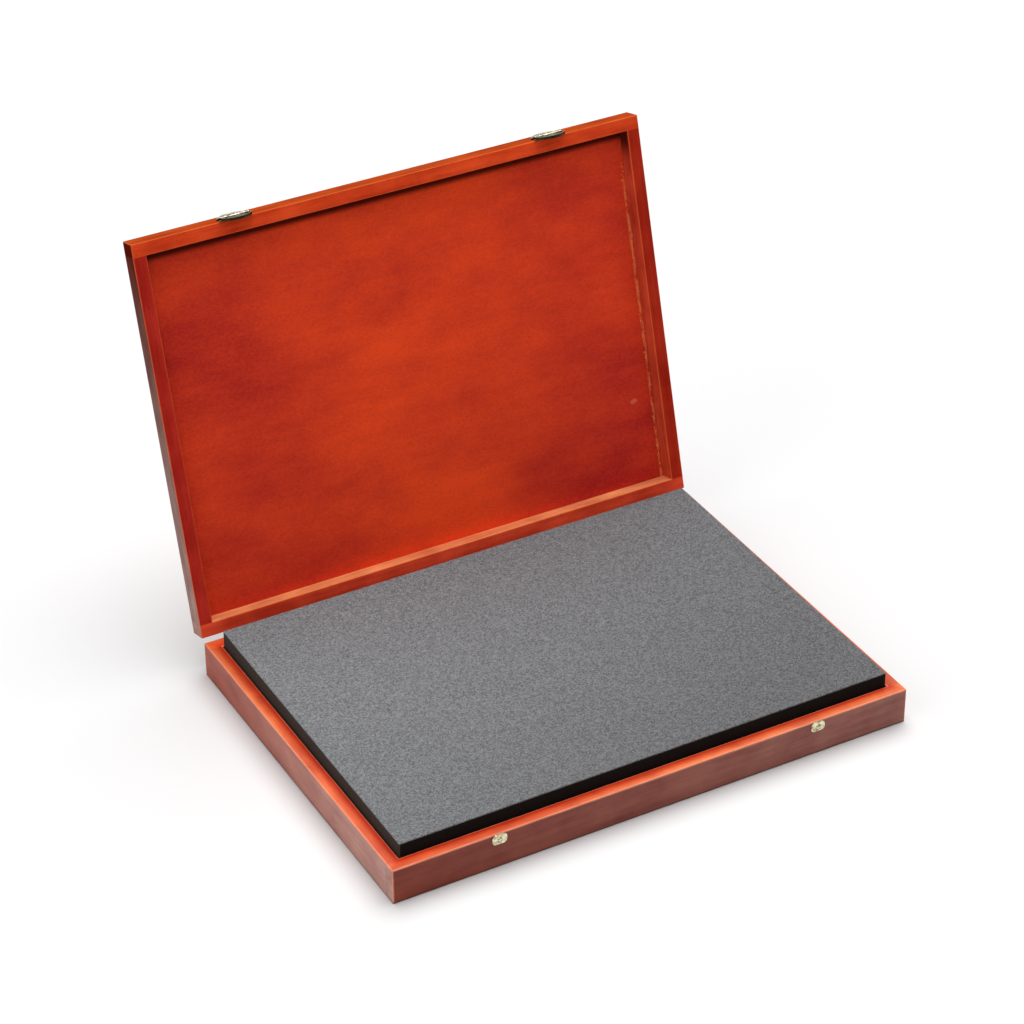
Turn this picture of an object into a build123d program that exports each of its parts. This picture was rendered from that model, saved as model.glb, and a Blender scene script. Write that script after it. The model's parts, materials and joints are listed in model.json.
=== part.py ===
from build123d import *
import os
from math import sqrt

# A flat wooden presentation case with a hinged lid, standing open.
#
# The base is a shallow tray of four rails around a plywood bottom, filled with a foam insert
# that stands proud of the rim. The lid is the same tray turned over, deep enough to take the
# proud foam when it shuts. Two stop hinges on the back hold the lid open a little past upright,
# and two brass hasps on the lid's front edge snap over studs on the base.
#
# Origin at the middle of the base's underside, +X to the right along the front, +Y to the back,
# +Z up. The lid and all that it carries are drawn shut, then turned open about the hinge pins.
# Millimetres throughout.

# ---------------------------------------------------------------- driving sizes

case_width = 400.0
case_depth = 290.0
base_height = 27.5
lid_height = 15.2
wall = 10.0                  # rails, solid wood
panel_thickness = 3.2        # plywood bottom and lid panel
rebate_width = 5.0           # step in the rails that the panel is glued into
edge_round = 0.8             # sanded edges
closing_gap = 0.4            # between the two rims when the lid is shut
lid_open_angle = 105.5       # degrees, on the hinge stops

foam_side_gap = 0.8          # foam to the rails, all round
foam_top_gap = 1.2           # foam to the lid panel, lid shut
foam_skin = 1.0              # grey layer on the black block
foam_edge_round = 0.4

hinge_inset = 75.0           # middle of each hinge from the case's end
hinge_drop = 0.5             # pin below the middle of the closing gap
hinge_length = 32.0
middle_knuckle = 14.0        # length of the lid leaf's knuckle
knuckle_gap = 0.25           # end play between knuckles
knuckle_radius = 1.8
knuckle_to_wood = 0.2
pin_radius = 1.0
pin_play = 0.06              # radial, in the turning knuckle
pin_stand_out = 0.6
leaf_thickness = 0.9
leaf_relief = 0.5            # between a leaf's edge and the other leaf's knuckle
leaf_margin = 3.0            # leaf's end to the lid's outer face
stop_depth = 1.9             # how far the stop lug bears on the base leaf
stop_gap = 0.05
stop_thickness = 1.9
screw_spacing = 18.0
screw_shank_radius = 1.0
screw_head_radius = 1.9
screw_tip_to_inside = 2.0    # wood left between a screw's tip and the inside of the wall
recess_width = 0.5           # cross recess in the screw heads
recess_depth = 0.5

left_clasp_inset = 78.6      # middle of each clasp from its end of the case
right_clasp_inset = 73.4
clasp_width = 26.0
clasp_axis_rise = 2.4        # hasp pivot above the lid's rim
clasp_top_margin = 2.8       # clasp leaf to the lid's outer face
clasp_rise = 2.6             # how far the domed leaf and hasp stand out
clasp_edge_rise = 0.9        # the same at the two tips
clasp_sheet = 0.7            # thickness of the stamped hasp
clasp_knuckle_radius = 1.2
clasp_knuckle_to_wood = 0.25
clasp_pin_radius = 0.5
clasp_pin_play = 0.05
clasp_barrel = 22.0          # all three knuckles together
clasp_middle_knuckle = 7.5
clasp_relief = 0.8           # leaf and hasp edges clear of the knuckles
hasp_past_stud = 3.6         # hasp's lower edge below the middle of the stud
lip_rise = 2.9               # turned-out finger lip
lip_width = 0.9
lip_drop = 5.0               # the lip starts this far below the pivot
foot_length = 1.5            # feet that rest the hasp on the lid's edge
foot_gap = 0.03

plate_width = 11.0
plate_height = 7.8
plate_thickness = 0.6
plate_below_rim = 0.4
plate_corner = 3.0
stud_below_rim = 4.8
stud_radius = 2.2
stud_height = 1.1            # above the plate
hasp_over_plate = 0.25
boss_clearance = 0.4         # inside the hasp's boss, over the stud
nail_spacing = 7.8           # in a catch plate
leaf_nail_spacing = 14.0     # in a clasp leaf
leaf_nail_rise = 6.0         # above the pivot
nail_shank_radius = 0.5
nail_head_radius = 0.8
nail_head_height = 0.15
nail_length = 7.0            # in the wood
nail_seat = 1.1              # height of the flat that a leaf nail's head sits on

# ---------------------------------------------------------------- worked-out places

inner_width = case_width - 2 * wall
inner_depth = case_depth - 2 * wall
panel_width = inner_width + 2 * rebate_width
panel_depth = inner_depth + 2 * rebate_width
front_y = -case_depth / 2
back_y = case_depth / 2
lid_rim_z = base_height + closing_gap
lid_top_z = lid_rim_z + lid_height
foam_top_z = lid_top_z - panel_thickness - foam_top_gap

pin_y = back_y + knuckle_to_wood + knuckle_radius
pin_z = base_height + closing_gap / 2 - hinge_drop
hinge_axis = Axis((0, pin_y, pin_z), (1, 0, 0))
hinge_places = {"left": hinge_inset - case_width / 2, "right": case_width / 2 - hinge_inset}
leaf_height = lid_top_z - leaf_margin - pin_z
leaf_start = knuckle_radius + leaf_relief
screw_rise = (leaf_start + leaf_height) / 2
screw_length = wall - screw_tip_to_inside

clasp_places = {
    "left": left_clasp_inset - case_width / 2,
    "right": case_width / 2 - right_clasp_inset,
}
pivot_y = front_y - clasp_knuckle_to_wood - clasp_knuckle_radius
pivot_z = lid_rim_z + clasp_axis_rise
clasp_edge = clasp_knuckle_radius + clasp_relief
stud_z = base_height - stud_below_rim
plate_z = base_height - plate_below_rim - plate_height / 2
clasp_leaf_height = lid_top_z - clasp_top_margin - pivot_z
hasp_drop = pivot_z - stud_z + hasp_past_stud
hasp_inside = plate_thickness + hasp_over_plate
nail_points = [-leaf_nail_spacing / 2, leaf_nail_spacing / 2]

# Faces of the case with +X to the right and +Z up; both normals point to the front.
front_face = Plane.XZ.offset(-front_y)
back_face = Plane.XZ.offset(-back_y)

os.makedirs("parts", exist_ok=True)


def finish(builder, label, on_lid=False):
    """Label a piece, turn it open with the lid if it rides there, and write it."""
    if on_lid:
        builder.part = builder.part.rotate(hinge_axis, -lid_open_angle)
    builder.part.label = label
    export_step(builder.part, f"parts/{label}.step")


# ---------------------------------------------------------------- fasteners


def screw_places(direction):
    """Screw centres (X, Z) in the base leaves (direction -1) or the lid leaves (+1)."""
    half = screw_spacing / 2
    z = pin_z + direction * screw_rise
    return [(x + side * half, z) for x in hinge_places.values() for side in (-1, 1)]


def screws(places, mode=Mode.ADD, tip_room=0.0):
    """Countersunk screws through a leaf into the back of the case, heads flush with the leaf."""
    for x, z in places:
        with Locations(Plane((x, back_y + leaf_thickness, z), z_dir=(0, -1, 0))):
            Cone(
                screw_head_radius,
                screw_shank_radius,
                leaf_thickness,
                align=(Align.CENTER, Align.CENTER, Align.MIN),
                mode=mode,
            )
        with Locations(Plane((x, back_y, z), z_dir=(0, -1, 0))):
            Cylinder(
                screw_shank_radius,
                screw_length + tip_room,
                align=(Align.CENTER, Align.CENTER, Align.MIN),
                mode=mode,
            )


def screw_group(label, direction, on_lid):
    """All the screws of one kind, each with its cross recess, as separate solids."""
    places = screw_places(direction)
    with BuildPart() as group:
        screws(places)
        for x, z in places:
            with Locations((x, back_y + leaf_thickness, z)):
                Box(2.4, 2 * recess_depth, recess_width, mode=Mode.SUBTRACT)
                Box(recess_width, 2 * recess_depth, 2.4, mode=Mode.SUBTRACT)
    finish(group, label, on_lid)


def nail_shanks(places, seat, mode=Mode.ADD, tip_room=0.0):
    """Nail shanks from a seat in front of the case into the wood, centred at (X, Z)."""
    for x, z in places:
        with Locations(Plane((x, front_y - seat, z), z_dir=(0, 1, 0))):
            Cylinder(
                nail_shank_radius,
                seat + nail_length + tip_room,
                align=(Align.CENTER, Align.CENTER, Align.MIN),
                mode=mode,
            )


def nail_group(label, places, seat, on_lid):
    """Round-head nails as separate solids; the heads sit on a seat in front of the case."""
    with BuildPart() as group:
        nail_shanks(places, seat)
        for x, z in places:
            with Locations(Plane((x, front_y - seat, z), z_dir=(0, -1, 0))):
                Cylinder(
                    nail_head_radius,
                    nail_head_height,
                    align=(Align.CENTER, Align.CENTER, Align.MIN),
                )
        crowns = group.faces().sort_by(Axis.Y)[: len(places)]
        fillet(crowns.edges(), 0.7 * nail_head_height)
    finish(group, label, on_lid)


catch_nail_places = [
    (x + side * nail_spacing / 2, plate_z) for x in clasp_places.values() for side in (-1, 1)
]
leaf_nail_places = [
    (x + dx, pivot_z + leaf_nail_rise) for x in clasp_places.values() for dx in nail_points
]


# ---------------------------------------------------------------- wooden trays


def rail_ring(outer_z, toward_rim, height):
    """Four rails in one piece, from the outer face at outer_z to the rim, panel rebate cut."""
    with BuildPart() as ring:
        with BuildSketch(Plane.XY.offset(outer_z)):
            Rectangle(case_width, case_depth)
            Rectangle(inner_width, inner_depth, mode=Mode.SUBTRACT)
        extrude(amount=toward_rim * height)
        corners = ring.edges().filter_by(Axis.Z).sort_by_distance((0, 0, outer_z))[-4:]
        levels = ring.faces().filter_by(Axis.Z)
        around = [edge for face in levels for edge in face.outer_wire().edges()]
        rim = levels.sort_by(Axis.Z)[-1 if toward_rim > 0 else 0]
        inside = rim.inner_wires()[0].edges()
        fillet([*corners, *around, *inside], edge_round)
        with BuildSketch(Plane.XY.offset(outer_z)):
            Rectangle(panel_width, panel_depth)
        extrude(amount=toward_rim * panel_thickness, mode=Mode.SUBTRACT)
    return ring.part


def tray(name, outer_z, toward_rim, height, on_lid, drill):
    """Front and back rails run the full width, and the side rails butt between them."""
    ring = rail_ring(outer_z, toward_rim, height)
    front_joint = Plane((0, -inner_depth / 2, 0), z_dir=(0, 1, 0))
    back_joint = Plane((0, inner_depth / 2, 0), z_dir=(0, 1, 0))
    for side, joint, keep in (("front", front_joint, Keep.BOTTOM), ("back", back_joint, Keep.TOP)):
        with BuildPart() as long_rail:
            add(ring)
            split(bisect_by=joint, keep=keep)
            drill[side]()
        finish(long_rail, f"{name}_{side}_rail", on_lid)
    for side, keep in (("left", Keep.BOTTOM), ("right", Keep.TOP)):
        with BuildPart() as side_rail:
            add(ring)
            split(bisect_by=front_joint, keep=Keep.TOP)
            split(bisect_by=back_joint, keep=Keep.BOTTOM)
            split(bisect_by=Plane.YZ, keep=keep)
        finish(side_rail, f"{name}_{side}_rail", on_lid)


def panel(label, outer_z, toward_rim, on_lid):
    """Plywood let into the rebate, flush with the rails' outer face."""
    with BuildPart() as sheet:
        with BuildSketch(Plane.XY.offset(outer_z)):
            Rectangle(panel_width, panel_depth)
        extrude(amount=toward_rim * panel_thickness)
    finish(sheet, label, on_lid)


base_drilling = {
    "front": lambda: nail_shanks(catch_nail_places, 0.0, Mode.SUBTRACT, tip_room=0.5),
    "back": lambda: screws(screw_places(-1), Mode.SUBTRACT, tip_room=0.5),
}
lid_drilling = {
    "front": lambda: nail_shanks(leaf_nail_places, 0.0, Mode.SUBTRACT, tip_room=0.5),
    "back": lambda: screws(screw_places(1), Mode.SUBTRACT, tip_room=0.5),
}
tray("base", 0.0, 1, base_height, False, base_drilling)
panel("base_bottom_panel", 0.0, 1, False)
tray("lid", lid_top_z, -1, lid_height, True, lid_drilling)
panel("lid_panel", lid_top_z, -1, True)


# ---------------------------------------------------------------- foam insert


def foam_slab(label, low_z, high_z):
    """A slab of foam that fills the tray from rail to rail, less the side gap."""
    with BuildPart() as slab:
        with BuildSketch(Plane.XY.offset(low_z)):
            Rectangle(inner_width - 2 * foam_side_gap, inner_depth - 2 * foam_side_gap)
        extrude(amount=high_z - low_z)
        fillet(slab.edges().filter_by(Axis.Z), foam_edge_round)
    finish(slab, label)


foam_slab("foam_block", panel_thickness, foam_top_z - foam_skin)
foam_slab("foam_top_layer", foam_top_z - foam_skin, foam_top_z)

# ---------------------------------------------------------------- stop hinges

half_middle = middle_knuckle / 2
half_hinge = hinge_length / 2
base_knuckles = [
    (-half_hinge, -half_middle - knuckle_gap),
    (half_middle + knuckle_gap, half_hinge),
]
lid_knuckles = [(-half_middle, half_middle)]


def hinge_leaf(label, x, direction, knuckles, bore, on_lid):
    """A plate on the back of the case, up (+1) or down (-1) from the pin, rolled round it."""
    with BuildPart() as leaf:
        with BuildSketch(back_face):
            with Locations((x, pin_z + direction * (leaf_start + leaf_height) / 2)):
                Rectangle(hinge_length, leaf_height - leaf_start)
        extrude(amount=-leaf_thickness)
        for start, end in knuckles:
            with BuildSketch(Plane.YZ.offset(x + start)):
                with Locations((pin_y, pin_z)):
                    Circle(knuckle_radius)
                with Locations((back_y + leaf_thickness / 2, pin_z + direction * leaf_start / 2)):
                    Rectangle(leaf_thickness, leaf_start)
            extrude(amount=end - start)
        if on_lid:
            # Stop lug, drawn where it bears on the base leaf with the lid open, then turned shut.
            lug_width = pin_y - back_y - leaf_thickness - stop_gap
            lug_top = pin_radius + pin_play
            lug_bottom = leaf_start + stop_depth
            bearing = Location((0, -lug_width + stop_thickness / 2, -(lug_top + lug_bottom) / 2))
            with Locations(Location((x, pin_y, pin_z), (lid_open_angle, 0, 0)) * bearing):
                Box(middle_knuckle, stop_thickness, lug_bottom - lug_top)
        with BuildSketch(Plane.YZ.offset(x - half_hinge)):
            with Locations((pin_y, pin_z)):
                Circle(bore)
        extrude(amount=hinge_length, mode=Mode.SUBTRACT)
        screws(screw_places(direction), Mode.SUBTRACT)
    finish(leaf, label, on_lid)


for side, x in hinge_places.items():
    hinge_leaf(f"{side}_hinge_base_leaf", x, -1, base_knuckles, pin_radius, False)
    hinge_leaf(f"{side}_hinge_lid_leaf", x, 1, lid_knuckles, pin_radius + pin_play, True)
    with BuildPart() as hinge_pin:
        with BuildSketch(Plane.YZ.offset(x - half_hinge - pin_stand_out)):
            with Locations((pin_y, pin_z)):
                Circle(pin_radius)
        extrude(amount=hinge_length + 2 * pin_stand_out)
        chamfer(hinge_pin.edges().filter_by(GeomType.CIRCLE), 0.3 * pin_stand_out)
    finish(hinge_pin, f"{side}_hinge_pin")

screw_group("hinge_base_screws", -1, False)
screw_group("hinge_lid_screws", 1, True)

# ---------------------------------------------------------------- clasps

dome_radius = ((clasp_width / 2) ** 2 + (clasp_rise - clasp_edge_rise) ** 2) / (
    2 * (clasp_rise - clasp_edge_rise)
)
half_clasp_middle = clasp_middle_knuckle / 2
half_barrel = clasp_barrel / 2


def half_oval(x, half_height, direction, inset=0.0):
    """The part of an oval above (+1) or below (-1) the barrel, for the leaf or the hasp."""
    reach = clasp_width
    with Locations((x, pivot_z)):
        Ellipse(clasp_width / 2 - inset, half_height - inset)
    with Locations((x, pivot_z + direction * (clasp_edge + inset + reach / 2))):
        Rectangle(2 * reach, reach, mode=Mode.INTERSECT)


def dome(x, thinner=0.0):
    """Keep what lies under the clasp's shallow dome, or under its inner face."""
    with Locations((x, front_y - clasp_rise + dome_radius, pivot_z)):
        Sphere(dome_radius - thinner, mode=Mode.INTERSECT)


def clasp_knuckles(x, stretches, direction):
    """Barrels round the clasp pin, with webs back to the leaf (+1) or the hasp (-1)."""
    web = clasp_edge + clasp_sheet
    for start, end in stretches:
        middle = x + (start + end) / 2
        with Locations((middle, pivot_y, pivot_z)):
            Cylinder(clasp_knuckle_radius, end - start, rotation=(0, 90, 0))
        with Locations((middle, pivot_y, pivot_z + direction * web / 2)):
            Box(end - start, 1.6 * clasp_knuckle_radius, web)


def clasp_bore(x, radius):
    """The hole for the clasp pin, through the whole barrel."""
    with Locations((x, pivot_y, pivot_z)):
        Cylinder(radius, clasp_barrel, rotation=(0, 90, 0), mode=Mode.SUBTRACT)


def clasp_leaf(label, x):
    """Cast half-oval nailed to the lid's front edge, with the middle knuckle."""
    with BuildPart() as leaf:
        with BuildSketch(front_face):
            half_oval(x, clasp_leaf_height, 1)
        extrude(amount=clasp_rise)
        dome(x)
        clasp_knuckles(x, [(-half_clasp_middle, half_clasp_middle)], 1)
        clasp_bore(x, clasp_pin_radius)
        places = [(x + dx, pivot_z + leaf_nail_rise) for dx in nail_points]
        nail_shanks(places, clasp_rise, Mode.SUBTRACT)
        with BuildSketch(front_face.offset(nail_seat)):
            with Locations(*places):
                Circle(nail_head_radius)
        extrude(amount=clasp_rise, mode=Mode.SUBTRACT)
    finish(leaf, label, on_lid=True)


def clasp_hasp(label, x):
    """Stamped half-oval hasp: domed, hollow behind, with a boss over the stud and a lip."""
    inside = front_face.offset(hasp_inside)
    with BuildPart() as hollow:
        with BuildSketch(inside):
            half_oval(x, hasp_drop, -1, inset=clasp_sheet)
        extrude(amount=clasp_rise)
        dome(x, thinner=clasp_sheet)
    # The boss is a spherical cap concentric with the clearance over the stud's cap.
    stud_cap = (stud_radius**2 + stud_height**2) / (2 * stud_height)
    boss_y = front_y - plate_thickness - stud_height + stud_cap
    boss_inner = stud_cap + boss_clearance
    with BuildPart() as hasp:
        with BuildSketch(inside):
            half_oval(x, hasp_drop, -1)
        extrude(amount=clasp_rise)
        dome(x)
        add(hollow.part, mode=Mode.SUBTRACT)
        with BuildSketch(inside):
            half_oval(x, hasp_drop, -1)
            with Locations((x, pivot_z)):
                Ellipse(clasp_width / 2 - lip_width, hasp_drop - lip_width, mode=Mode.SUBTRACT)
            with Locations((x, pivot_z - lip_drop - clasp_width)):
                Rectangle(2 * clasp_width, 2 * clasp_width, mode=Mode.INTERSECT)
        extrude(amount=lip_rise - hasp_inside)
        with Locations((x, boss_y, stud_z)):
            Sphere(boss_inner + clasp_sheet)
        split(bisect_by=inside, keep=Keep.TOP)
        with Locations((x, boss_y, stud_z)):
            Sphere(boss_inner, mode=Mode.SUBTRACT)
        start = half_clasp_middle + knuckle_gap
        clasp_knuckles(x, [(-half_barrel, -start), (start, half_barrel)], -1)
        # Feet behind the outer ends of the barrel, resting on the flat of the lid's edge.
        foot_low = pivot_z - clasp_axis_rise + edge_round
        foot_high = pivot_z - clasp_knuckle_to_wood
        foot_deep = clasp_knuckle_to_wood + clasp_knuckle_radius / 2 - foot_gap
        foot_x = half_barrel - foot_length / 2
        with BuildSketch(front_face.offset(foot_gap)):
            with Locations(*[(x + dx, (foot_low + foot_high) / 2) for dx in (-foot_x, foot_x)]):
                Rectangle(foot_length, foot_high - foot_low)
        extrude(amount=foot_deep)
        clasp_bore(x, clasp_pin_radius + clasp_pin_play)
    finish(hasp, label, on_lid=True)


def catch_plate(label, x):
    """Flat plate nailed to the base's front, with the stud that the hasp snaps over."""
    stud_cap = (stud_radius**2 + stud_height**2) / (2 * stud_height)
    with BuildPart() as plate:
        with Locations((x, front_y - plate_thickness - stud_height + stud_cap, stud_z)):
            Sphere(stud_cap)
        split(bisect_by=front_face.offset(plate_thickness), keep=Keep.TOP)
        with BuildSketch(front_face):
            with Locations((x, plate_z)):
                RectangleRounded(plate_width, plate_height, plate_corner)
        extrude(amount=plate_thickness)
        places = [(x + side * nail_spacing / 2, plate_z) for side in (-1, 1)]
        nail_shanks(places, plate_thickness, Mode.SUBTRACT)
    finish(plate, label)


for side, x in clasp_places.items():
    clasp_leaf(f"{side}_clasp_leaf", x)
    clasp_hasp(f"{side}_clasp_hasp", x)
    catch_plate(f"{side}_catch_plate", x)
    with BuildPart() as clasp_pin:
        with BuildSketch(Plane.YZ.offset(x - half_barrel)):
            with Locations((pivot_y, pivot_z)):
                Circle(clasp_pin_radius)
        extrude(amount=clasp_barrel)
    finish(clasp_pin, f"{side}_clasp_pin", on_lid=True)

nail_group("catch_nails", catch_nail_places, plate_thickness, False)
nail_group("clasp_nails", leaf_nail_places, nail_seat, True)
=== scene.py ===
# %% [markdown]
# # A wooden presentation case with a foam insert
#
# The case is a shallow tray of stained wood with a lid like it, hinged at the back, two brass clasps
# and a block of foam that something is packed in. Its wood and metal come ready made from the
# engineering model, at their real size and place. This lesson gives them their finishes, and makes
# what an engineering model leaves plain: the foam, the specks of glue along a joint, and the studio.

import json
import math
import random

import bmesh
import bpy
from mathutils import Matrix, Vector, noise

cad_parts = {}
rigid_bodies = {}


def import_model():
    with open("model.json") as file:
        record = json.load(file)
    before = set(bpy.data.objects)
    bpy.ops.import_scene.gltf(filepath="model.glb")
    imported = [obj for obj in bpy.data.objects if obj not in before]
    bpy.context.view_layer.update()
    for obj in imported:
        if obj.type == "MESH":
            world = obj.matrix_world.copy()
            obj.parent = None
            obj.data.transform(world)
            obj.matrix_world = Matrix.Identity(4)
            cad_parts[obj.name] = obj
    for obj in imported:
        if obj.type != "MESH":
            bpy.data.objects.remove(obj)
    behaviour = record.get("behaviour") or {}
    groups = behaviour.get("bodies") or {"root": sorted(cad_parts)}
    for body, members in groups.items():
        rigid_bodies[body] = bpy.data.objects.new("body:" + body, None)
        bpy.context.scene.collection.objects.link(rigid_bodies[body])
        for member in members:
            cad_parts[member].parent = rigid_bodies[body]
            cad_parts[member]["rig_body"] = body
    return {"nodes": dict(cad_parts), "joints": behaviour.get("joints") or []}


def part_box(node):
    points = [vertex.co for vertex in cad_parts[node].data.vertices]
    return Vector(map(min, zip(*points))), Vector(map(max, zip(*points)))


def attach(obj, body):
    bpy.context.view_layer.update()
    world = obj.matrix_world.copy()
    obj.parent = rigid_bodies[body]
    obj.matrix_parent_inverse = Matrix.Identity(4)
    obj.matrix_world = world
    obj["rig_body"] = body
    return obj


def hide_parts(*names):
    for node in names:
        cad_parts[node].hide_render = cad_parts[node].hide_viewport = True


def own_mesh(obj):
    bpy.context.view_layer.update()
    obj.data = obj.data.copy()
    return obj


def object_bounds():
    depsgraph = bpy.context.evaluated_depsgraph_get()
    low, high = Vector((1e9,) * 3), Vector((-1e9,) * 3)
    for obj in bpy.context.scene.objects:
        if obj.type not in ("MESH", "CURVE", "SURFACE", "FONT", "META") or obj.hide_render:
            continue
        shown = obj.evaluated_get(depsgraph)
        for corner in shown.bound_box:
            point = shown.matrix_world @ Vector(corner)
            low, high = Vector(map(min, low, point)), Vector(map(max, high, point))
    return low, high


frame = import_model()
cad_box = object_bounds()
MM = 0.001
case_size = cad_box[1] - cad_box[0]
print("pieces in the engineering model:", len(frame["nodes"]))
print("standing open it measures, in mm:", [round(side / MM, 1) for side in case_size])

# %% [markdown]
# ## The lid's own directions
#
# The lid stands open, so its rails lean. Grain, edges and faces are far simpler to describe with the
# lid shut, when every rail is square to the world. The hinge joint says how far the lid turns, so
# one matrix takes any point of the open lid to where it is when the lid is shut. The materials use
# the same turn, and the pattern then stays on the wood when the lid moves.

# %% Turn from the open lid to the shut one
lid_hinge = next(joint for joint in frame["joints"] if joint["name"] == "lid_hinge")
hinge_place = Vector(lid_hinge["pos_m"])
shutting_angle = math.radians(lid_hinge["range_deg"][1])
shut_turn = (
    Matrix.Translation(hinge_place)
    @ Matrix.Rotation(shutting_angle, 4, "X")
    @ Matrix.Translation(-hinge_place)
)


def shut_matrix(piece_name):
    """What takes a piece from where it rests to where it is in the shut case."""
    on_lid = frame["nodes"][piece_name]["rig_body"] == "lid"
    return shut_turn if on_lid else Matrix.Identity(4)


def shut_box(piece_name):
    """Lowest and highest corner of a piece in the shut case."""
    turn = shut_matrix(piece_name)
    corners = [turn @ vertex.co for vertex in frame["nodes"][piece_name].data.vertices]
    low = Vector([min(corner[axis] for corner in corners) for axis in range(3)])
    high = Vector([max(corner[axis] for corner in corners) for axis in range(3)])
    return low, high


base_low = shut_box("base_front_rail")[0]
lid_high = shut_box("lid_back_rail")[1]
base_rim = shut_box("base_front_rail")[1].z
lid_rim = shut_box("lid_front_rail")[0].z
half_width = lid_high.x
half_depth = lid_high.y
print("shut, the case is", round(lid_high.z / MM, 1), "mm thick")

# %% [markdown]
# ## Camera
#
# A product shot of a flat case is taken from above one corner, with a long lens so that its sides
# stay nearly parallel. The camera stands about 2.3 m away. A camera looks along its own -Z, so its
# rotation is built from three directions: backward, sideways and up, with a slight roll.

# %% Place the camera
camera_place = Vector((-0.9156, -1.6099, 1.3672))
camera_azimuth = math.radians(-28.80)
camera_elevation = math.radians(33.18)
camera_roll = math.radians(-0.43)

backward = Vector((
    math.sin(camera_azimuth) * math.cos(camera_elevation),
    -math.cos(camera_azimuth) * math.cos(camera_elevation),
    math.sin(camera_elevation),
))
level_side = Vector((0, 0, 1)).cross(backward).normalized()
level_up = backward.cross(level_side)
sideways = math.cos(camera_roll) * level_side + math.sin(camera_roll) * level_up
upward = -math.sin(camera_roll) * level_side + math.cos(camera_roll) * level_up

camera_data = bpy.data.cameras.new("product_camera")
camera_data.sensor_width = 36.0
camera_data.lens = 114.86
camera = bpy.data.objects.new("product_camera", camera_data)
turned = Matrix((sideways, upward, backward)).transposed().to_4x4()
camera.matrix_world = Matrix.Translation(camera_place) @ turned
bpy.context.scene.collection.objects.link(camera)
bpy.context.scene.camera = camera
print("camera to the case, in m:", round((camera_place - hinge_place).length, 2))

# %% [markdown]
# ## Colours and nodes
#
# A finish is compared with the real thing as an sRGB hex value, but Blender's sockets take linear
# light, so one function turns the first into the second. Every material is then built with one small
# helper that adds a node, sets what it is given by name, and links what feeds it. Reading a material
# in this file is then like reading its node tree from left to right.

# %% Colour and node helpers
def linear(hex_colour):
    """An sRGB hex colour as the linear colour that Blender's sockets take."""
    channels = [int(hex_colour[start:start + 2], 16) / 255 for start in (1, 3, 5)]
    return [c / 12.92 if c <= 0.04045 else ((c + 0.055) / 1.055) ** 2.4 for c in channels] + [1.0]


def add_node(finish, kind, settings=None, links=None):
    """Add a node. Settings are its properties or input values, and links are what feeds its inputs."""
    node = finish.node_tree.nodes.new("ShaderNode" + kind)
    for name, value in (settings or {}).items():
        if isinstance(name, str) and hasattr(node, name):
            setattr(node, name, value)
        else:
            node.inputs[name].default_value = value
    for name, source in (links or {}).items():
        finish.node_tree.links.new(source, node.inputs[name])
    return node


def start_finish(name, settings):
    """A new material with a Principled shader set up, and that shader."""
    finish = bpy.data.materials.new(name)
    finish.use_nodes = True
    shader = finish.node_tree.nodes["Principled BSDF"]
    for socket, value in settings.items():
        shader.inputs[socket].default_value = value
    return finish, shader


def give(piece_names, finish):
    """Put a finish on pieces of the engineering model."""
    for piece_name in piece_names:
        slots = frame["nodes"][piece_name].data.materials
        slots.clear()
        slots.append(finish)
    print(finish.name, "goes on", ", ".join(piece_names))


# %% [markdown]
# ## Studio
#
# Such a case is shown on a white sweep under one large soft box overhead. The box hangs a
# little behind the case and to its right, so a short dark shadow lies where wood meets paper at the
# front and left, and it fades within 20 mm. A sun lamp with a wide angle gives that light evenly over
# the whole floor, where an area lamp would fade towards the edges of the view. A weaker soft box
# low on the left gives the shadow on the right. A reflector in front lifts the lid's recess.
# A studio flags it off the paper, and light linking does that here. The standard view
# transform keeps the stain as saturated as it is.

# %% Floor
floor_mesh = bpy.data.meshes.new("studio_floor")
sweep = bmesh.new()
bmesh.ops.create_grid(sweep, x_segments=8, y_segments=8, size=15.0)
sweep.to_mesh(floor_mesh)
sweep.free()
floor = bpy.data.objects.new("studio_floor", floor_mesh)
bpy.context.scene.collection.objects.link(floor)

paper = start_finish("white_paper_sweep", {"Base Color": linear("#e8e8e8"), "Roughness": 0.9})[0]
floor_mesh.materials.append(paper)
print("floor:", floor.name)

# %% Soft boxes, reflector and room
def soft_box(name, energy, width, tilt_x, tilt_y):
    """A wide sun lamp, all angles in degrees: its apparent width, and its tilts about X and Y."""
    lamp_data = bpy.data.lights.new(name, "SUN")
    lamp_data.energy = energy
    lamp_data.angle = math.radians(width)
    lamp = bpy.data.objects.new(name, lamp_data)
    lamp.rotation_euler = (math.radians(tilt_x), math.radians(tilt_y), 0)
    bpy.context.scene.collection.objects.link(lamp)
    print(name, "is", width, "degrees across")
    return lamp


soft_box("overhead_soft_box", 3.3, 60, -12, 12)
soft_box("low_left_soft_box", 0.72, 50, 0, -60)
reflector = soft_box("front_reflector", 0.55, 70, 48, -14)
flagged = bpy.data.collections.new("flagged_off_the_reflector")
flagged.objects.link(floor)
flagged.collection_objects[0].light_linking.link_state = "EXCLUDE"
reflector.light_linking.receiver_collection = flagged

room = bpy.data.worlds.new("dim_room")
room.use_nodes = True
room.node_tree.nodes["Background"].inputs["Color"].default_value = linear("#ffffff")
room.node_tree.nodes["Background"].inputs["Strength"].default_value = 0.15
bpy.context.scene.world = room
bpy.context.scene.view_settings.view_transform = "Standard"

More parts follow.
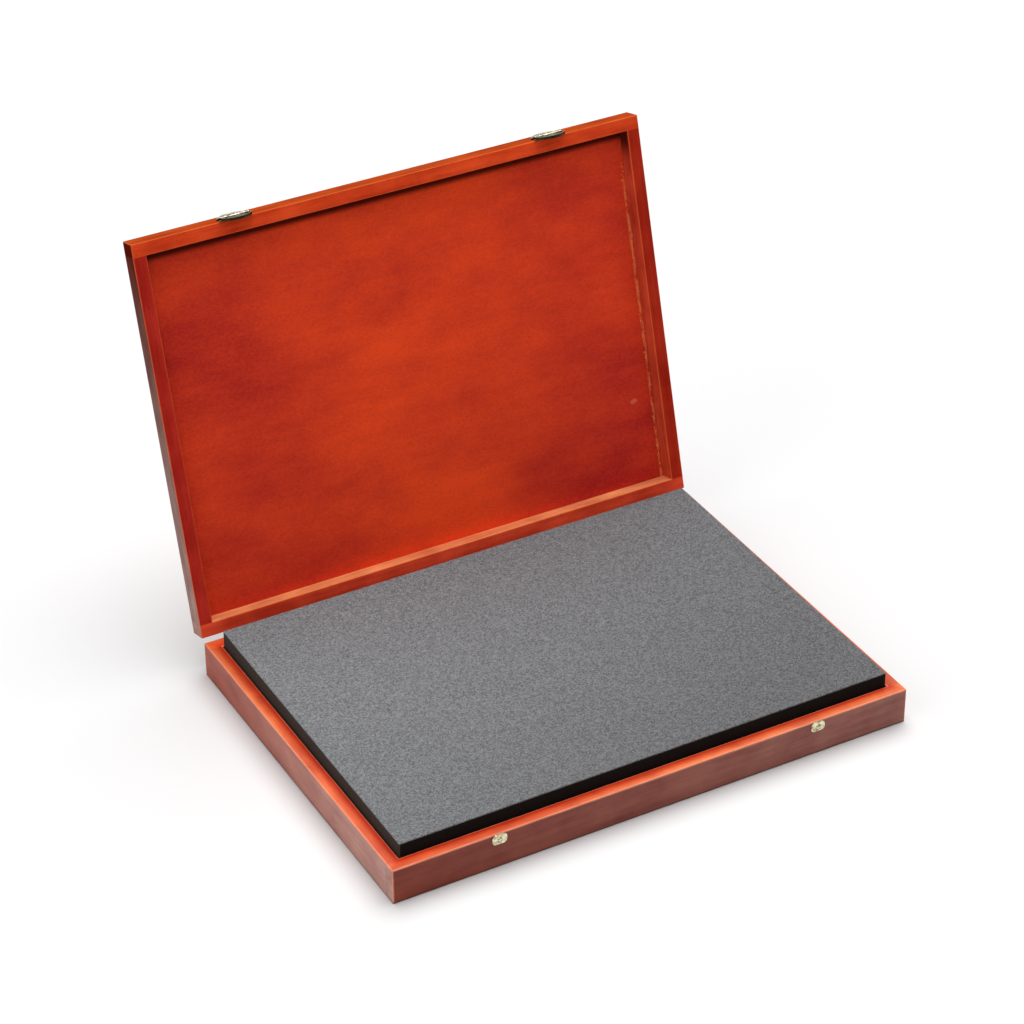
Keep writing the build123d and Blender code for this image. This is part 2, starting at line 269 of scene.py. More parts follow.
# %% [markdown]
# ## Stained wood, step by step
#
# The rails are solid poplar, an even wood with fine pores, under a cherry and mahogany stain and a
# satin lacquer. Stain makes wood lively in three ways: it soaks in unevenly, it darkens the pores and
# the end grain, and it is rubbed thin on the edges when the lacquer is sanded. Along the edges a
# highlight is painted too, and some faces carry painted shade and painted reflection. An image texture
# could show all of it, but only from noise in real millimetres does each rail get a grain of its
# own that runs along it and meets no seam. So the finish is built from noise, and from the
# distances to the piece's own faces.

# %% Where a point is on its piece
def shut_place(finish, piece_name):
    """The point being shaded, as it lies in the shut case, in metres."""
    turn = shut_matrix(piece_name)
    point = add_node(finish, "TexCoord")
    place = add_node(
        finish,
        "Mapping",
        {"Location": turn.to_translation(), "Rotation": turn.to_euler()},
        {"Vector": point.outputs["Object"]},
    )
    return place.outputs["Vector"]


def arithmetic(finish, operation, first, second):
    """One step of arithmetic on two inputs, each a number or another node's output."""
    numbers = {i: value for i, value in enumerate((first, second)) if isinstance(value, float)}
    sources = {i: value for i, value in enumerate((first, second)) if i not in numbers}
    return add_node(finish, "Math", {"operation": operation, **numbers}, sources).outputs[0]


def within(finish, distance, full, gone):
    """1 where a distance is under full, 0 where it is over gone, and smooth between."""
    limits = {"From Min": full, "From Max": gone, "To Min": 1.0, "To Max": 0.0}
    limits["interpolation_type"] = "SMOOTHSTEP"
    return add_node(finish, "MapRange", limits, {"Value": distance}).outputs[0]


def blend_colours(finish, share, first, second, way="MIX"):
    """A mix of two colours, each a list or another node's output, by a share from 0 to 1."""
    settings = {"data_type": "RGBA", "blend_type": way}
    links = {0: share}
    for socket, colour in ((6, first), (7, second)):
        (settings if isinstance(colour, list) else links)[socket] = colour
    return add_node(finish, "Mix", settings, links).outputs[2]


def streaks(finish, place, sizes, seed, detail=2.0):
    """Noise whose marks are sizes[0] by sizes[1] by sizes[2] metres. Its output is about 0.5."""
    start = (7.3 * seed, 3.1 * seed, 5.7 * seed)
    stretch = {"Scale": [1 / size for size in sizes], "Location": start}
    marks = add_node(finish, "Mapping", stretch, {"Vector": place})
    settings = {"Scale": 1.0, "Detail": detail, "Roughness": 0.55}
    return add_node(finish, "TexNoise", settings, {"Vector": marks.outputs[0]}).outputs[0]


print("the point being shaded is read from the piece itself, so a pattern moves with its piece")

# %% [markdown]
# ### Faces and edges of a tray
#
# The base and the lid are both trays: an outline, an opening, a rim and an outer face. All eight
# rails can share one description of where those are. From it comes how far a point is from the
# outside and from each face, and from the nearest edge, where the stain is rubbed thin and a highlight
# is painted. An edge is where two faces meet, so its distance is the larger of the distances to those two
# faces.

# %% Distances on a tray
wall = shut_box("base_left_rail")[1].x - shut_box("base_left_rail")[0].x


def tray_distances(finish, place, rim_height, outer_height):
    """Distances in metres from the point to a tray's faces, edges, rail ends and butt joints."""
    size = add_node(finish, "VectorMath", {"operation": "ABSOLUTE"}, {0: place})
    across, deep, _ = add_node(finish, "SeparateXYZ", links={0: size.outputs[0]}).outputs
    _, _, height = add_node(finish, "SeparateXYZ", links={0: place}).outputs

    def step(operation, first, second=0.0):
        return arithmetic(finish, operation, first, second)

    to_side = step("SUBTRACT", half_width, across)
    to_front = step("SUBTRACT", half_depth, deep)
    to_outline = step("MINIMUM", to_side, to_front)
    past_side = step("SUBTRACT", across, half_width - wall)
    past_front = step("SUBTRACT", deep, half_depth - wall)
    to_opening = step("MAXIMUM", past_side, past_front)
    to_rim = step("ABSOLUTE", step("SUBTRACT", height, rim_height))
    to_outer = step("ABSOLUTE", step("SUBTRACT", height, outer_height))
    rim_edge = step("MAXIMUM", step("MINIMUM", to_outline, to_opening), to_rim)
    corner_edge = step("MAXIMUM", to_side, to_front)
    outer_edge = step("MAXIMUM", to_outline, to_outer)
    joint_line = step("MAXIMUM", step("ABSOLUTE", past_front), step("MULTIPLY", past_side, -1.0))
    return {
        "side": to_outline,
        "outer": to_outer,
        "inner": step("ABSOLUTE", to_opening),
        "edge": step("MINIMUM", rim_edge, step("MINIMUM", corner_edge, outer_edge)),
        "end": to_side,
        "joint": joint_line,
    }


print("rails are", round(wall / MM, 1), "mm thick")

# %% [markdown]
# ### The rails
#
# Each rail is cut from its own board, and no two boards take stain alike: the lid's front rail came
# out orange and its side rails a deep red. So one function makes the finish, and each rail gives it
# a seed for its own grain and the colour of its rim, its inner wall and its outer side. Where stain
# has soaked in deeper it multiplies that colour, as a second coat would. The marks are real sizes:
# stain blotches of 25 mm, a figure 90 mm long and 5 mm wide, fibres under 1 mm wide, and pores drawn
# 0.5 mm wide, about three times as coarse as real ones, which would be too fine to see. The base has
# a satin lacquer, which mirrors the white paper weakly, and most where the eye meets it at a low
# angle. The lid had only the stain, which leaves no film, so it mirrors nothing.
#
# The faces carry a little more. The base's rims are paler towards their outer edge, and more so
# towards each rail's right or back end. Some outer sides carry a painted reflection of the white paper,
# a pale tone that grows along the rail. End grain takes stain differently from a side, so the rails
# that run the full width have a colour of their own for their ends. A painted shadow darkens the base's
# rails along their bottom, and the lid's side rails' inner walls next to the front rail.

# %% Stained poplar
DEEPER_STAIN = linear("#cda8b0")
SHOW_FACE = linear("#84302a")
PORE_AND_PAINTED_SHADE = linear("#2c0c08")
PAINTED_REFLECTION_TONE = linear("#e0cdbf")
PALE_RIM_EDGE = linear("#f28a54")
LACQUER = 0.2
NO_FILM = 0.0
ALONG_X = 0
ALONG_Y = 1


def stained_poplar(piece_name, grain, rim, inner, side, end, painted_reflection, seed):
    """Poplar under stain. Grain is the axis that it runs along. Each face has its own colour, and the
    number after them is how pale a painted reflection makes the side at the rail's back or right end, or
    other end if negative."""
    on_lid = piece_name.startswith("lid")
    gloss = NO_FILM if on_lid else LACQUER
    settings = {"Roughness": 0.34, "IOR": 1.5, "Specular IOR Level": gloss}
    finish, shader = start_finish("stained_poplar." + piece_name, settings)
    place = shut_place(finish, piece_name)
    levels = (lid_rim, lid_high.z) if on_lid else (base_rim, base_low.z)
    distance = tray_distances(finish, place, *levels)
    rubbed_edge_and_highlight = linear("#f07038" if on_lid else "#f6a27e")

    def marks(along, across, detail=2.0):
        sizes = [across] * 3
        sizes[grain] = along
        return streaks(finish, place, sizes, seed, detail)

    def step(operation, first, second=0.0):
        return arithmetic(finish, operation, first, second)

    blotches = marks(30 * MM, 22 * MM)
    figure = marks(90 * MM, 5 * MM)
    fibres = marks(16 * MM, 0.9 * MM)
    pores = within(finish, marks(3.5 * MM, 0.5 * MM), 0.30, 0.36)

    along = add_node(finish, "SeparateXYZ", links={0: place}).outputs[grain]
    reach = (half_width, half_depth)[grain]

    def rising(low, high):
        """A value that goes from low at the rail's near or left end to high at its other end."""
        ramp = {"From Min": -reach, "From Max": reach, "To Min": low, "To Max": high}
        return add_node(finish, "MapRange", ramp, {"Value": along}).outputs[0]

    colour = linear(rim)
    if not on_lid:
        # The rim is paler towards its outer edge, and more so towards the rail's right or back end.
        paler_outside = within(finish, distance["side"], 0.5 * MM, 9.5 * MM)
        colour = blend_colours(finish, step("MULTIPLY", paler_outside, rising(0.5, 0.95)), colour, PALE_RIM_EDGE)
    # Painted reflection: the outer side grows paler along the rail, as a gloss reflection of the paper
    # would.
    painted_reflection_share = rising(max(-painted_reflection, 0.0), max(painted_reflection, 0.0))
    faces = {
        "inner": linear(inner),
        "side": blend_colours(finish, painted_reflection_share, linear(side), PAINTED_REFLECTION_TONE),
        "end": linear(end),
        "outer": SHOW_FACE,
    }
    for face, face_colour in faces.items():
        on_face = within(finish, distance[face], 0.15 * MM, 0.6 * MM)
        if face != "end" or grain == ALONG_X:
            colour = blend_colours(finish, on_face, colour, face_colour)
    # Painted shade: the lid side rails' inner walls darken next to the front rail, which shades them when
    # the lid stands open.
    if on_lid and grain == ALONG_Y:
        from_front = step("ADD", along, half_depth - wall)
        painted_corner_shade = within(finish, from_front, 6.0 * MM, 26.0 * MM)
        painted_corner_shade = step("MULTIPLY", painted_corner_shade, within(finish, distance["inner"], 0.1 * MM, 0.3 * MM))
        colour = blend_colours(finish, step("MULTIPLY", painted_corner_shade, 0.8), colour, PORE_AND_PAINTED_SHADE)

    uneven = step("ADD", step("MULTIPLY", blotches, 1.6), step("MULTIPLY", figure, 1.1))
    uneven = step("ADD", uneven, step("MULTIPLY", fibres, 0.6))
    depth = add_node(finish, "Math", {"operation": "ADD", "use_clamp": True, 1: -1.15}, {0: uneven})
    colour = blend_colours(finish, depth.outputs[0], colour, DEEPER_STAIN, "MULTIPLY")

    # The pale line along each edge is partly wear, where the stain is rubbed thin, and partly a painted
    # highlight.
    edge_line_width = (0.9 if on_lid else 1.5) * MM
    worn_and_highlight = step("MULTIPLY", within(finish, distance["edge"], 0.3 * MM, edge_line_width), fibres)
    colour = blend_colours(finish, worn_and_highlight, colour, rubbed_edge_and_highlight)
    if not on_lid:
        # Painted shadow: the base's rails darken to a dark line along their bottom, where the case meets
        # the paper.
        painted_shadow = step("MULTIPLY", within(finish, distance["outer"], 0.6 * MM, 1.8 * MM), 0.8)
        colour = blend_colours(finish, painted_shadow, colour, PORE_AND_PAINTED_SHADE)
    glue_line = step("MULTIPLY", within(finish, distance["joint"], 0.1 * MM, 0.4 * MM), 0.12)
    colour = blend_colours(finish, glue_line, colour, PORE_AND_PAINTED_SHADE)
    colour = blend_colours(finish, step("MULTIPLY", pores, 0.4), colour, PORE_AND_PAINTED_SHADE)
    finish.node_tree.links.new(colour, shader.inputs["Base Color"])

    relief = step("ADD", step("MULTIPLY", fibres, 0.5), step("MULTIPLY", pores, -0.5))
    bump = add_node(finish, "Bump", {"Strength": 0.5, "Distance": 0.04 * MM}, {"Height": relief})
    finish.node_tree.links.new(bump.outputs[0], shader.inputs["Normal"])
    give([piece_name], finish)


# Painted light in these colours: upright sides darker than rims as painted shade, the lid front rail's
# side and back rail's inner wall pale as painted light where they face up when open, and pale grey ends
# as painted reflection.
rails = {
    "base_front_rail": (ALONG_X, "#da3a12", "#da3a12", "#8c3f2a", "#c09484", 0.17),
    "base_back_rail": (ALONG_X, "#da3a12", "#da3a12", "#8c3f2a", "#ac4018", 0.1),
    "base_left_rail": (ALONG_Y, "#d83812", "#d83812", "#ac4014", "#ac4014", -0.45),
    "base_right_rail": (ALONG_Y, "#c4442a", "#c4442a", "#8c3f2a", "#8c3f2a", 0.1),
    "lid_front_rail": (ALONG_X, "#ee5328", "#b83820", "#ba4e20", "#5e1a10", 0.0),
    "lid_back_rail": (ALONG_X, "#ee5838", "#f8a068", "#84302a", "#b8988c", 0.0),
    "lid_left_rail": (ALONG_Y, "#c03226", "#c02a28", "#5e1a10", "#5e1a10", 0.6),
    "lid_right_rail": (ALONG_Y, "#ba321e", "#e05c3c", "#84302a", "#84302a", 0.0),
}
for seed, (piece_name, look) in enumerate(rails.items(), start=1):
    stained_poplar(piece_name, *look, seed)

# %% [markdown]
# ### The panels
#
# The lid panel and the base's bottom are 3 mm plywood. Its face veneer is peeled off the log, so it
# has no straight grain but a wide cloudy figure, and the ends of fine vessels show as scattered dark
# flecks. The figure is noise 60 mm wide, and the flecks are the low points of a fine noise, which a
# coarser one thins out in places. The figure is deeper towards the left, towards the right and
# towards the hinge side's right corner. A painted shadow darkens the panel just under the front
# rail, which shades it. Glue has kept the stain off a broken line beside the right rail. Near the
# hinge side something has scuffed the finish: a pale broken patch 8 mm long.

# %% Stained plywood
VENEER_LIGHT = linear("#f24c24")
VENEER_DEEP = linear("#b02824")
LIFTED_STAIN = linear("#f89a60")
FLECK = linear("#6a140c")
SCUFF = linear("#e88a6c")
GLUE_FROM_RAIL_MM = 1.7
scuff_place = Vector((half_width - 27 * MM, half_depth - 74 * MM, lid_high.z - 3.2 * MM))


def stained_plywood(piece_name, seed):
    """Peeled veneer under stain with no film on it, dark on its outer face."""
    settings = {"Roughness": 0.4, "IOR": 1.5, "Specular IOR Level": NO_FILM}
    finish, shader = start_finish("stained_plywood." + piece_name, settings)
    place = shut_place(finish, piece_name)
    on_lid = piece_name.startswith("lid")
    levels = (lid_rim, lid_high.z) if on_lid else (base_rim, base_low.z)
    distance = tray_distances(finish, place, *levels)

    def step(operation, first, second=0.0):
        return arithmetic(finish, operation, first, second)

    clouds = streaks(finish, place, [85 * MM, 55 * MM, 55 * MM], seed, 3.0)
    ripples = streaks(finish, place, [45 * MM, 7 * MM, 7 * MM], seed)
    grain = streaks(finish, place, [2.2 * MM, 1.3 * MM, 1.3 * MM], seed)
    uneven = step("ADD", step("MULTIPLY", clouds, 1.4), step("MULTIPLY", ripples, 0.3))
    uneven = step("ADD", uneven, step("MULTIPLY", grain, 0.7))
    across, deep, _ = add_node(finish, "SeparateXYZ", links={0: place}).outputs
    from_left = step("ADD", across, half_width)
    uneven = step("ADD", uneven, step("MULTIPLY", within(finish, from_left, 30 * MM, 150 * MM), 0.4))
    from_right = step("SUBTRACT", half_width, across)
    uneven = step("ADD", uneven, step("MULTIPLY", within(finish, from_right, 20 * MM, 170 * MM), 0.3))
    to_corner = {"operation": "DISTANCE", 1: (half_width - 60 * MM, half_depth - 45 * MM, lid_high.z)}
    to_corner = add_node(finish, "VectorMath", to_corner, {0: place}).outputs["Value"]
    uneven = step("ADD", uneven, step("MULTIPLY", within(finish, to_corner, 20 * MM, 110 * MM), 0.3))
    depth = add_node(finish, "Math", {"operation": "ADD", "use_clamp": True, 1: -0.95}, {0: uneven})
    colour = blend_colours(finish, depth.outputs[0], VENEER_LIGHT, VENEER_DEEP)

    vessels = within(finish, streaks(finish, place, [2.4 * MM, 1.1 * MM, 1.1 * MM], seed + 3), 0.27, 0.36)
    patchy = within(finish, streaks(finish, place, [30 * MM, 30 * MM, 30 * MM], seed + 5), 0.42, 0.6)
    flecks = step("MULTIPLY", step("MULTIPLY", vessels, patchy), 0.5)
    colour = blend_colours(finish, flecks, colour, FLECK)

    if on_lid:
        from_rail = step("ADD", deep, half_depth - wall)
        # Painted shadow: near black just under the front rail and fading by about 18 mm, where the rail
        # shades the panel.
        for full, gone, share in ((4.5 * MM, 9.5 * MM, 0.92), (4.0 * MM, 18.0 * MM, 0.15)):
            painted_shadow = step("MULTIPLY", within(finish, from_rail, full, gone), share)
            colour = blend_colours(finish, painted_shadow, colour, PORE_AND_PAINTED_SHADE)
        from_glue = step("ABSOLUTE", step("ADD", across, wall + GLUE_FROM_RAIL_MM * MM - half_width))
        broken = within(finish, streaks(finish, place, [3 * MM, 9 * MM, 3 * MM], 8), 0.42, 0.64)
        lifted = step("MULTIPLY", within(finish, from_glue, 0.3 * MM, 1.8 * MM), broken)
        lower_down = within(finish, from_rail, 60 * MM, 20 * MM)
        lifted = step("MULTIPLY", step("MULTIPLY", lifted, 0.6), lower_down)
        colour = blend_colours(finish, lifted, colour, LIFTED_STAIN)
        to_scuff = add_node(finish, "VectorMath", {"operation": "SUBTRACT", 1: scuff_place}, {0: place})
        shape = {"operation": "MULTIPLY", 1: (1 / (4 * MM), 1 / (2.5 * MM), 0)}
        to_scuff = add_node(finish, "VectorMath", shape, {0: to_scuff.outputs[0]})
        reach = add_node(finish, "VectorMath", {"operation": "LENGTH"}, {0: to_scuff.outputs[0]})
        scuffed = within(finish, step("ADD", reach.outputs["Value"], grain), 0.9, 1.5)
        colour = blend_colours(finish, step("MULTIPLY", scuffed, 0.4), colour, SCUFF)

    outer = within(finish, distance["outer"], 0.3 * MM, 0.8 * MM)
    outer_colour = blend_colours(finish, depth.outputs[0], SHOW_FACE, DEEPER_STAIN, "MULTIPLY")
    colour = blend_colours(finish, outer, colour, outer_colour)
    finish.node_tree.links.new(colour, shader.inputs["Base Color"])
    bump = add_node(finish, "Bump", {"Strength": 0.4, "Distance": 0.05 * MM}, {"Height": grain})
    finish.node_tree.links.new(bump.outputs[0], shader.inputs["Normal"])
    give([piece_name], finish)


for seed, piece_name in enumerate(["lid_panel", "base_bottom_panel"], start=11):
    stained_plywood(piece_name, seed)

# %% [markdown]
# ## Brass
#
# The clasps, hinges and screws are stamped steel under a pale brass plate, tumbled until they shine.
# Plate is a true metal to the eye, so metallic is 1 and its colour is the colour of its reflections.
# It is touched every time the case is opened, so fingerprints make it duller in small patches, which
# a noise of a few millimetres gives to the roughness. The clasps' edges and backs are painted dark, a
# painted shade and dark reflection that draws a thin dark line round each clasp. Which way a
# surface faces tells them from the front, and the case's own direction is used for that.

# %% Brass plate
PAINTED_CLASP_SHADE = linear("#3a3322")


def facing_out(finish):
    """1 where a surface of the lid's front faces straight out of the shut case, 0 where it is edge on."""
    outward = shut_turn.to_3x3().inverted() @ Vector((0, -1, 0))
    normal = add_node(finish, "TexCoord").outputs["Normal"]
    dot = {"operation": "DOT_PRODUCT", 1: outward}
    return add_node(finish, "VectorMath", dot, {0: normal}).outputs["Value"]


def brass_plate(name, bright, tarnished, roughness, piece_names, painted_dark_edges=False):
    """Tumbled brass plate with duller, darker patches, and, if asked, painted shade on its edges and
    backs.
    """
    finish, shader = start_finish(name, {"Metallic": 1.0})
    point = add_node(finish, "TexCoord").outputs["Object"]
    patches = streaks(finish, point, [3 * MM, 3 * MM, 3 * MM], 2, 4.0)
    dull = add_node(finish, "MapRange", {"From Min": 0.42, "From Max": 0.68}, {"Value": patches})
    colour = blend_colours(finish, dull.outputs[0], bright, tarnished)
    if painted_dark_edges:
        # Painted shade and dark reflection on the faces turned away from the lid's front.
        painted_dark = within(finish, facing_out(finish), 0.3, 0.7)
        colour = blend_colours(finish, painted_dark, colour, PAINTED_CLASP_SHADE)
    finish.node_tree.links.new(colour, shader.inputs["Base Color"])
    settings = {"To Min": roughness, "To Max": roughness + 0.2}
    gloss = add_node(finish, "MapRange", settings, {"Value": dull.outputs[0]})
    finish.node_tree.links.new(gloss.outputs[0], shader.inputs["Roughness"])
    give(piece_names, finish)


clasp_pieces = [name for name in frame["nodes"] if "clasp" in name]
catch_pieces = [name for name in frame["nodes"] if "catch" in name]
hinge_pieces = [name for name in frame["nodes"] if "hinge" in name]
pale_brass = (linear("#ece4c4"), linear("#8c7f54"), 0.2)
brass_plate("pale_brass_plate", *pale_brass, catch_pieces)
brass_plate("stamped_brass_plate", *pale_brass, clasp_pieces, painted_dark_edges=True)
brass_plate("satin_brass_plate", linear("#d8c48a"), linear("#94804a"), 0.34, hinge_pieces)

# %% [markdown]
# ## Foam insert
#
# The insert is a block of black closed-cell foam with a thin grey layer of fine crumb on top. The
# engineering model has two plain slabs, and a knife never cuts foam that truly: the sides wander by
# a tenth of a millimetre or two and the top has a fine crumb. Both slabs are built here as grids
# that are dense where they show, and each point is nudged by a smooth noise, so that the shape
# itself is uneven and not only its shading. The block doesn't sit flat either: it is half a
# millimetre low at the front left, stands up to 1.6 mm high along the back, and swells a little
# backward there. A shut lid would meet that, and real foam gives way. The height that a shut lid
# would press the slabs to, 97.5% of their own, is worked out and printed.

# %% Build a slab of cut foam
def slab_profile(rounding, height, rows):
    """Inset and height of each ring of points from the bottom of a slab's side to its top."""
    rings = [(0.0, height * row / rows) for row in range(rows)]
    steps = 3
    for corner in range(steps + 1):
        angle = math.radians(90) * corner / steps
        rings.append((rounding * (1 - math.cos(angle)), height - rounding * (1 - math.sin(angle))))
    return rings


CORNER_LIFT = {"front": (-0.5 * MM, 0.0), "back": (1.6 * MM, 1.4 * MM)}
BACK_SWELL = 0.4 * MM
PRESSED_SHARE = 0.975
LUMP = 1.3 * MM
foam_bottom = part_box("foam_block")[0].z
foam_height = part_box("foam_top_layer")[1].z - foam_bottom


def foam_lift(share_x, share_y, z):
    """How far the foam stands above its drawn shape, from nothing at its bottom to all at its top."""
    front = CORNER_LIFT["front"][0] * (1 - share_x) + CORNER_LIFT["front"][1] * share_x
    back = CORNER_LIFT["back"][0] * (1 - share_x) + CORNER_LIFT["back"][1] * share_x
    return (front * (1 - share_y) + back * share_y) * (z - foam_bottom) / foam_height


def foam_slab(name, cad_node, spacing, rounding, waver, crumb, rows):
    """A cut slab in the place of a plain one, with wavering sides and a crumbly top."""
    low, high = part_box(cad_node)
    size = high - low
    columns = round(size.x / spacing)
    lines = round(size.y / spacing)
    outline = [(i / columns, 0.0) for i in range(columns)]
    outline += [(1.0, i / lines) for i in range(lines)]
    outline += [(1 - i / columns, 1.0) for i in range(columns)]
    outline += [(0.0, 1 - i / lines) for i in range(lines)]
    slab = bmesh.new()

    def nudged(x, y, z):
        """A point moved a little inward by noise, so that the slab stays in its own space."""
        wave = 0.5 + 0.5 * noise.noise((x * 45, y * 45, z * 160 + 9))
        shrink = 1 - 2 * waver * wave / size.x
        grain = noise.noise((x / LUMP, y / LUMP, z / LUMP))
        top_share = 1.0 if z > size.z - rounding - 1e-7 else 0.0
        dip = crumb * (0.5 + 0.5 * grain) * top_share
        lift = foam_lift(0.5 + x / size.x, 0.5 + y / size.y, low.z + z)
        return Vector((x * shrink, y * shrink, low.z + z + lift - dip))

    rings = []
    for inset, height in slab_profile(rounding, size.z, rows):
        ring = []
        for share_x, share_y in outline:
            x = (share_x - 0.5) * (size.x - 2 * inset)
            y = (share_y - 0.5) * (size.y - 2 * inset) + share_y * BACK_SWELL
            ring.append(slab.verts.new(nudged(x, y, height)))
        rings.append(ring)
    count = len(outline)
    for lower, upper in zip(rings, rings[1:]):
        for i in range(count):
            slab.faces.new((lower[i], lower[(i + 1) % count], upper[(i + 1) % count], upper[i]))
    slab.faces.new(list(reversed(rings[0])))

    top = {}
    for i, (share_x, share_y) in enumerate(outline):
        top[round(share_x * columns), round(share_y * lines)] = rings[-1][i]
    for column in range(1, columns):
        for line in range(1, lines):
            x = (column / columns - 0.5) * (size.x - 2 * rounding)
            y = (line / lines - 0.5) * (size.y - 2 * rounding) + line / lines * BACK_SWELL
            top[column, line] = slab.verts.new(nudged(x, y, size.z))
    for column in range(columns):
        for line in range(lines):
            corners = ((column, line), (column + 1, line), (column + 1, line + 1), (column, line + 1))
            slab.faces.new([top[corner] for corner in corners])

    mesh = bpy.data.meshes.new(name)
    slab.to_mesh(mesh)
    slab.free()
    mesh.shade_smooth()
    piece = bpy.data.objects.new(name, mesh)
    bpy.context.scene.collection.objects.link(piece)
    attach(piece, "base")
    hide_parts(cad_node)
    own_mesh(piece)
    print(name, "has", len(mesh.polygons), "faces and is", round(size.z / MM, 1), "mm thick")
    return piece


black_block = foam_slab("black_foam_block", "foam_block", 4 * MM, 0.2 * MM, 0.2 * MM, 0.0, 14)
grey_layer = foam_slab("grey_foam_layer", "foam_top_layer", 1.5 * MM, 0.2 * MM, 0.2 * MM, 0.1 * MM, 2)
pressed_top = foam_bottom + (foam_height + CORNER_LIFT["back"][0]) * PRESSED_SHARE
print("the shut lid presses the foam to", round(pressed_top / MM, 2), "mm")
print("the lid panel lies at", round(shut_box("lid_panel")[0].z / MM, 2), "mm")

# %% [markdown]
# ### Foam finishes
#
# Cut closed-cell foam is millions of tiny cups that trap light, so it is nearly black and has no
# gloss at all. The block's left side is paler, a painted sheen for the light that grazes it. The grey
# layer is pressed from crumbs of two greys, which the eye sees as a fine speckle. They are drawn 0.9 mm
# across, coarser than real ones. Crumbs are what a cell pattern is made for: each cell takes one
# random value, and a finer noise breaks up the cells' edges. The layer is painted a little darker
# towards its front right corner and lighter towards its back left, painted shading for how it is lit.

# %% Black and grey foam
black_foam, black_shader = start_finish("closed_cell_foam", {"Roughness": 1.0, "Specular IOR Level": 0.1})
point = add_node(black_foam, "TexCoord").outputs["Object"]
cups = streaks(black_foam, point, [0.9 * MM, 0.9 * MM, 0.9 * MM], 4, 2.0)
black_colour = blend_colours(black_foam, cups, linear("#060504"), linear("#201c19"))
across = add_node(black_foam, "SeparateXYZ", links={0: point}).outputs[0]
from_left = arithmetic(black_foam, "SUBTRACT", across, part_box("foam_block")[0].x)
# Painted sheen: the block's left side is paler where light grazes it.
painted_sheen = arithmetic(black_foam, "MULTIPLY", within(black_foam, from_left, 0.6 * MM, 1.0 * MM), cups)
black_colour = blend_colours(black_foam, painted_sheen, black_colour, linear("#544d47"))
black_foam.node_tree.links.new(black_colour, black_shader.inputs["Base Color"])
black_bump = add_node(black_foam, "Bump", {"Strength": 0.6, "Distance": 0.15 * MM}, {"Height": cups})
black_foam.node_tree.links.new(black_bump.outputs[0], black_shader.inputs["Normal"])
black_block.data.materials.append(black_foam)

grey_foam, grey_shader = start_finish("crumb_foam", {"Roughness": 1.0, "Specular IOR Level": 0.2})
point = add_node(grey_foam, "TexCoord").outputs["Object"]
CRUMB = 0.9 * MM
crumbs = add_node(grey_foam, "TexVoronoi", {"Scale": 1 / CRUMB}, {"Vector": point})
crumb_value = add_node(grey_foam, "SeparateColor", links={0: crumbs.outputs["Color"]}).outputs[0]
powder = streaks(grey_foam, point, [0.8 * MM, 0.8 * MM, 0.8 * MM], 6, 2.0)
speckle = arithmetic(grey_foam, "MULTIPLY", arithmetic(grey_foam, "ADD", crumb_value, powder), 0.5)
grey_colour = blend_colours(grey_foam, speckle, linear("#37383a"), linear("#989b9d"))
across, deep, _ = add_node(grey_foam, "SeparateXYZ", links={0: point}).outputs
# Painted shading: the crumb layer is lighter towards its back left and darker towards its front right.
to_front_right = arithmetic(grey_foam, "SUBTRACT", arithmetic(grey_foam, "MULTIPLY", across, 0.75), deep)
case_reach = {"From Min": -half_width, "From Max": half_width}
painted_shading = add_node(grey_foam, "MapRange", case_reach, {"Value": to_front_right}).outputs[0]
grey_colour = blend_colours(grey_foam, painted_shading, grey_colour, linear("#d6d3d3"), "MULTIPLY")
grey_foam.node_tree.links.new(grey_colour, grey_shader.inputs["Base Color"])
grey_bump = add_node(grey_foam, "Bump", {"Strength": 0.5, "Distance": 0.2 * MM}, {"Height": speckle})
grey_foam.node_tree.links.new(grey_bump.outputs[0], grey_shader.inputs["Normal"])
grey_layer.data.materials.append(grey_foam)
print("foam finishes:", black_foam.name, grey_foam.name)

# %% [markdown]
# ## Glue in the lid's joint
#
# Where the lid panel meets the right rail, some glue was squeezed out before staining. Glue takes no
# stain, so it has stayed as a thin broken line of pale specks. Each speck is a flattened drop, larger
# or smaller by chance, and they stand close together in some places and far apart in others. The
# lifted stain between them is part of the panel's finish.

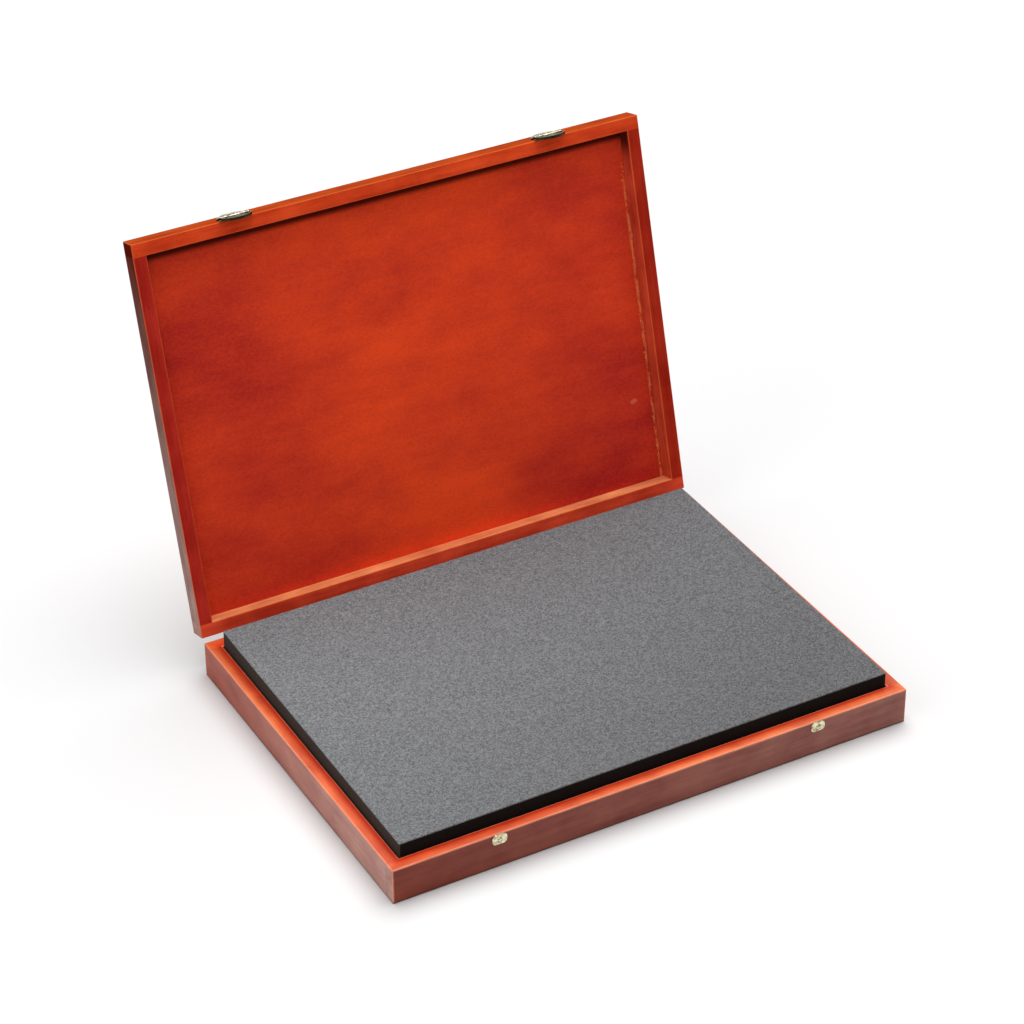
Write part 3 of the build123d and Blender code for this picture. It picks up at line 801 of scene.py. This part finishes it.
# %% Specks of dried glue
def glue_specks(name, rail_name, panel_name, inner_side, count, seed):
    """Flattened drops along the joint between a lid rail's inner side and the panel."""
    chance = random.Random(seed)
    rail_low, rail_high = shut_box(rail_name)
    panel_face = shut_box(panel_name)[0].z
    inner_x = rail_low.x if inner_side < 0 else rail_high.x
    open_turn = shut_turn.inverted()
    specks = bmesh.new()
    for _ in range(count):
        along = chance.uniform(rail_low.y + 25 * MM, rail_high.y)
        density = 0.5 + noise.noise((along * 38, seed, 0))
        if chance.random() > density:
            continue
        radius = chance.uniform(0.2, 0.5) * MM
        off_the_joint = min(max(chance.gauss(GLUE_FROM_RAIL_MM, 0.6), 0.4), 3.0) * MM
        place = Vector((inner_x + inner_side * off_the_joint, along, panel_face - 0.15 * radius))
        shape = Matrix.Diagonal((radius, radius * chance.uniform(1.0, 2.2), radius * 0.5, 1.0))
        matrix = open_turn @ Matrix.Translation(place) @ shape
        bmesh.ops.create_icosphere(specks, subdivisions=2, radius=1.0, matrix=matrix)
    mesh = bpy.data.meshes.new(name)
    specks.to_mesh(mesh)
    specks.free()
    mesh.shade_smooth()
    piece = bpy.data.objects.new(name, mesh)
    bpy.context.scene.collection.objects.link(piece)
    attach(piece, "lid")
    print(name, "has", len(mesh.vertices), "points")
    return piece


glue = glue_specks("lid_glue_specks", "lid_right_rail", "lid_panel", -1, 260, 5)
glue_settings = {"Roughness": 0.5, "IOR": 1.47, "Specular IOR Level": 0.2}
dried_glue, glue_shader = start_finish("dried_wood_glue", glue_settings)
point = add_node(dried_glue, "TexCoord").outputs["Object"]
amber = streaks(dried_glue, point, [2 * MM, 2 * MM, 2 * MM], 3)
glue_colour = blend_colours(dried_glue, amber, linear("#ffa868"), linear("#f0642e"))
dried_glue.node_tree.links.new(glue_colour, glue_shader.inputs["Base Color"])
glue.data.materials.append(dried_glue)

# %% [markdown]
# ## Sizes
#
# The looks must not change the object's size. The engineering model's box, measured before anything
# was added, is written down.

# %% Write the engineering box
print("engineering box, mm:", [[round(v / MM, 2) for v in corner] for corner in cad_box])
